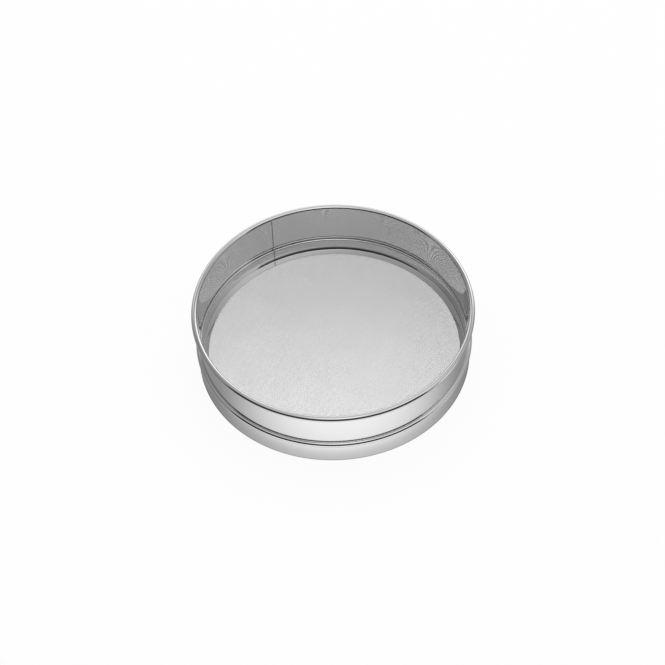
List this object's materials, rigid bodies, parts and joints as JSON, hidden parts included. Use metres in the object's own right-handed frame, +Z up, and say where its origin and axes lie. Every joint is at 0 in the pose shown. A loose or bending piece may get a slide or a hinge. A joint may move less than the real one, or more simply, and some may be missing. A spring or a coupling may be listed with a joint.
{
  "type": "drum sieve",
  "caption": "Round drum sieve (tamis) of polished sheet steel: wired rim, swaged bead, woven wire cloth under the drum, and a hemmed clamp ring that holds the cloth and is the foot.",
  "frame": {"origin": "centre of the foot's circle, on the surface that the sieve stands on", "axes": "+Z up along the drum's axis, from the cloth to the rolled rim; -Y towards the picture's viewer"},
  "size_m": [0.21, 0.21, 0.052],
  "materials": {
    "drum_sheet": "polished stainless sheet, faint rolling grain round the wall",
    "rim_wire": "bright drawn wire, hidden in the rolled rim",
    "cloth_wire": "fine woven stainless wire, satin",
    "ring_sheet": "polished stainless sheet, faint rolling grain round the wall"
  },
  "bodies": {
    "root": {"drum_band": "drum_sheet", "rim_wire": "rim_wire", "mesh_cloth": "cloth_wire", "clamp_ring": "ring_sheet"}
  },
  "joints": []
}
